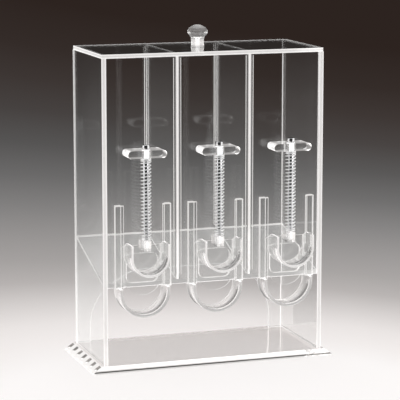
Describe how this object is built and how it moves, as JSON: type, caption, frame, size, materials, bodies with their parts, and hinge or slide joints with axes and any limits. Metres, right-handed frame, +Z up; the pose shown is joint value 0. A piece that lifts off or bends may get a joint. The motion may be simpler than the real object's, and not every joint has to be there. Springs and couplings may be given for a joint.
{
  "type": "gravity bulk food bin",
  "caption": "Clear countertop gravity bulk food bin with side-by-side compartments, a knobbed lid and spring-closed gates with finger lips at the front.",
  "frame": {"origin": "centre of the base plate's underside", "axes": "+Z up; -Y is the front with the gates; +X to the right seen from the front"},
  "size_m": [0.33, 0.177, 0.4385],
  "materials": {
    "clear_acrylic": "polished clear",
    "crystal_acrylic": "faceted polished clear",
    "white_plastic": "moulded",
    "rod_steel": "polished",
    "spring_steel": "bright wire",
    "screw_steel": "plain"
  },
  "bodies": {
    "cabinet": {"base_plate": "clear_acrylic", "left_side_panel": "clear_acrylic", "right_side_panel": "clear_acrylic", "back_panel": "clear_acrylic", "front_panel": "clear_acrylic", "left_divider": "clear_acrylic", "right_divider": "clear_acrylic", "sloped_floor": "clear_acrylic", "left_guide_spacer_left": "clear_acrylic", "left_guide_spacer_right": "clear_acrylic", "left_guide_cover_left": "clear_acrylic", "left_guide_cover_right": "clear_acrylic", "left_chute": "clear_acrylic", "left_rod_bracket": "clear_acrylic", "left_rod_bushing": "white_plastic", "centre_guide_spacer_left": "clear_acrylic", "centre_guide_spacer_right": "clear_acrylic", "centre_guide_cover_left": "clear_acrylic", "centre_guide_cover_right": "clear_acrylic", "centre_chute": "clear_acrylic", "centre_rod_bracket": "clear_acrylic", "centre_rod_bushing": "white_plastic", "right_guide_spacer_left": "clear_acrylic", "right_guide_spacer_right": "clear_acrylic", "right_guide_cover_left": "clear_acrylic", "right_guide_cover_right": "clear_acrylic", "right_chute": "clear_acrylic", "right_rod_bracket": "clear_acrylic", "right_rod_bushing": "white_plastic"},
    "lid": {"lid_panel": "clear_acrylic", "lid_knob": "crystal_acrylic", "lid_knob_screw": "screw_steel"},
    "left_gate": {"left_gate_plate": "clear_acrylic", "left_gate_lip": "clear_acrylic", "left_rod_block": "clear_acrylic", "left_rod": "rod_steel", "left_rod_cap": "rod_steel", "left_spring": "spring_steel"},
    "centre_gate": {"centre_gate_plate": "clear_acrylic", "centre_gate_lip": "clear_acrylic", "centre_rod_block": "clear_acrylic", "centre_rod": "rod_steel", "centre_rod_cap": "rod_steel", "centre_spring": "spring_steel"},
    "right_gate": {"right_gate_plate": "clear_acrylic", "right_gate_lip": "clear_acrylic", "right_rod_block": "clear_acrylic", "right_rod": "rod_steel", "right_rod_cap": "rod_steel", "right_spring": "spring_steel"}
  },
  "joints": [
    {"name": "lid_lift", "type": "slide", "parent": "cabinet", "child": "lid", "axis": [0, 0, 1], "range_m": [0, 0.15]},
    {"name": "left_gate_slide", "type": "slide", "parent": "cabinet", "child": "left_gate", "axis": [0, 0, 1], "range_m": [0, 0.042], "stiffness_N_per_m": 80, "springref_m": -0.05, "deforming": ["left_spring"]},
    {"name": "centre_gate_slide", "type": "slide", "parent": "cabinet", "child": "centre_gate", "axis": [0, 0, 1], "range_m": [0, 0.042], "stiffness_N_per_m": 80, "springref_m": -0.05, "deforming": ["centre_spring"]},
    {"name": "right_gate_slide", "type": "slide", "parent": "cabinet", "child": "right_gate", "axis": [0, 0, 1], "range_m": [0, 0.042], "stiffness_N_per_m": 80, "springref_m": -0.05, "deforming": ["right_spring"]}
  ]
}
